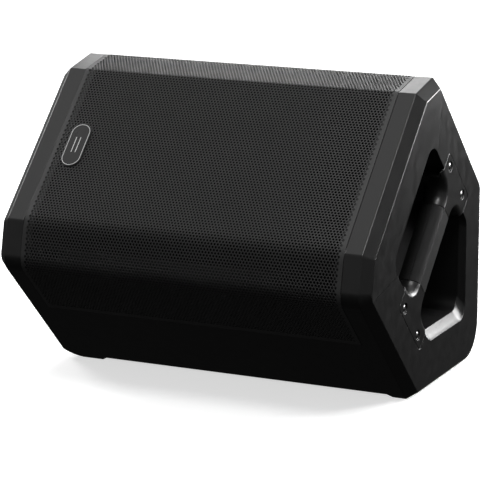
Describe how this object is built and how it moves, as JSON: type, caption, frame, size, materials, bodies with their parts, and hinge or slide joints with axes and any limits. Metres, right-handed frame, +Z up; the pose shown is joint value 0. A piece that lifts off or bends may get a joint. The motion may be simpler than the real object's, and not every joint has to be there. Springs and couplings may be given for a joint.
{
  "type": "stage monitor wedge",
  "caption": "Powered floor monitor loudspeaker wedge with a wrapped grille, a side grip, a pole socket and rear controls.",
  "frame": {"origin": "middle of the footprint, on the floor", "axes": "+X along the wedge towards the handle end, +Z up, the grille faces -Y and up at 45 degrees"},
  "size_m": [0.52, 0.4026, 0.4047],
  "materials": {
    "shell_plastic": "satin black moulded polypropylene with a fine grain",
    "grille_steel": "powder-coated perforated steel",
    "grille_foam": "open-cell black foam",
    "badge_plate": "plain dark plate with a silver rim",
    "grip_plastic": "satin black",
    "bright_screw": "bright zinc plated",
    "foot_rubber": "black moulded rubber",
    "cone_paper": "black paper pulp",
    "surround_rubber": "soft black rubber roll",
    "spider_cloth": "doped woven cloth",
    "coil_copper": "enamelled copper wire",
    "basket_steel": "black painted pressed steel",
    "magnet_steel": "zinc plated steel",
    "ferrite": "sintered ferrite",
    "horn_plastic": "black ABS",
    "diaphragm_titanium": "formed titanium foil",
    "panel_steel": "powder-coated sheet steel",
    "panel_screw": "black zinc plated",
    "circuit_board": "green solder mask",
    "heat_sink_aluminium": "extruded aluminium",
    "transformer_core": "wound copper under tape",
    "socket_plastic": "black nylon",
    "knob_plastic": "black plastic with a white pointer",
    "lens_plastic": "green light pipe"
  },
  "bodies": {
    "cabinet": {"front_shell": "shell_plastic", "rear_shell": "shell_plastic", "grille": "grille_steel", "grille_foam": "grille_foam", "badge": "badge_plate", "handle_bracket": "shell_plastic", "handle_grip": "grip_plastic", "handle_screw_1": "bright_screw", "handle_screw_2": "bright_screw", "handle_screw_3": "bright_screw", "handle_screw_4": "bright_screw", "rubber_foot_1": "foot_rubber", "rubber_foot_2": "foot_rubber", "rubber_foot_3": "foot_rubber", "rubber_foot_4": "foot_rubber", "pole_socket": "socket_plastic", "woofer_frame": "basket_steel", "woofer_surround": "surround_rubber", "woofer_spider": "spider_cloth", "woofer_top_plate": "magnet_steel", "woofer_magnet": "ferrite", "woofer_yoke": "magnet_steel", "horn": "horn_plastic", "horn_driver_plate": "magnet_steel", "horn_driver_magnet": "ferrite", "horn_driver_cover": "horn_plastic", "port_tube_lower": "horn_plastic", "port_tube_upper": "horn_plastic", "amp_panel": "panel_steel", "panel_screw_1": "panel_screw", "panel_screw_2": "panel_screw", "panel_screw_3": "panel_screw", "panel_screw_4": "panel_screw", "panel_screw_5": "panel_screw", "panel_screw_6": "panel_screw", "input_jack_1": "socket_plastic", "input_jack_2": "socket_plastic", "link_jack": "socket_plastic", "power_inlet": "socket_plastic", "power_switch_frame": "socket_plastic", "power_lens": "lens_plastic", "amp_board": "circuit_board", "heat_sink": "heat_sink_aluminium", "mains_transformer": "transformer_core", "transformer_clamp": "magnet_steel"},
    "cone": {"woofer_cone": "cone_paper", "woofer_dust_cap": "cone_paper", "woofer_voice_coil": "coil_copper"},
    "diaphragm": {"horn_diaphragm": "diaphragm_titanium"},
    "rocker": {"power_rocker": "knob_plastic"},
    "level_1": {"level_knob_1": "knob_plastic"},
    "level_2": {"level_knob_2": "knob_plastic"},
    "bass": {"bass_knob": "knob_plastic"},
    "treble": {"treble_knob": "knob_plastic"},
    "contour": {"contour_button": "knob_plastic"},
    "ground": {"ground_button": "knob_plastic"}
  },
  "joints": [
    {"name": "cone_travel", "type": "slide", "parent": "cabinet", "child": "cone", "axis": [0, -0.7071, 0.7071], "range_m": [-0.005, 0.005], "stiffness_N_per_m": 4000, "deforming": ["woofer_surround", "woofer_spider"]},
    {"name": "diaphragm_travel", "type": "slide", "parent": "cabinet", "child": "diaphragm", "axis": [0, -0.7071, 0.7071], "range_m": [-0.0004, 0.0004], "stiffness_N_per_m": 2000},
    {"name": "rocker_tilt", "type": "hinge", "parent": "cabinet", "child": "rocker", "pos_m": [-0.092, 0.18126, 0.15], "axis": [-1, 0, 0], "range_deg": [0, 21.6]},
    {"name": "level_1_turn", "type": "hinge", "parent": "cabinet", "child": "level_1", "pos_m": [0.092, 0.18126, 0.122], "axis": [0, 1, 0], "range_deg": [-150, 150]},
    {"name": "level_2_turn", "type": "hinge", "parent": "cabinet", "child": "level_2", "pos_m": [0.052, 0.18126, 0.122], "axis": [0, 1, 0], "range_deg": [-150, 150]},
    {"name": "bass_turn", "type": "hinge", "parent": "cabinet", "child": "bass", "pos_m": [0.012, 0.18126, 0.122], "axis": [0, 1, 0], "range_deg": [-150, 150]},
    {"name": "treble_turn", "type": "hinge", "parent": "cabinet", "child": "treble", "pos_m": [-0.024, 0.18126, 0.122], "axis": [0, 1, 0], "range_deg": [-150, 150]},
    {"name": "contour_press", "type": "slide", "parent": "cabinet", "child": "contour", "axis": [0, -1, 0], "range_m": [0, 0.002], "stiffness_N_per_m": 500},
    {"name": "ground_press", "type": "slide", "parent": "cabinet", "child": "ground", "axis": [0, -1, 0], "range_m": [0, 0.002], "stiffness_N_per_m": 500}
  ]
}
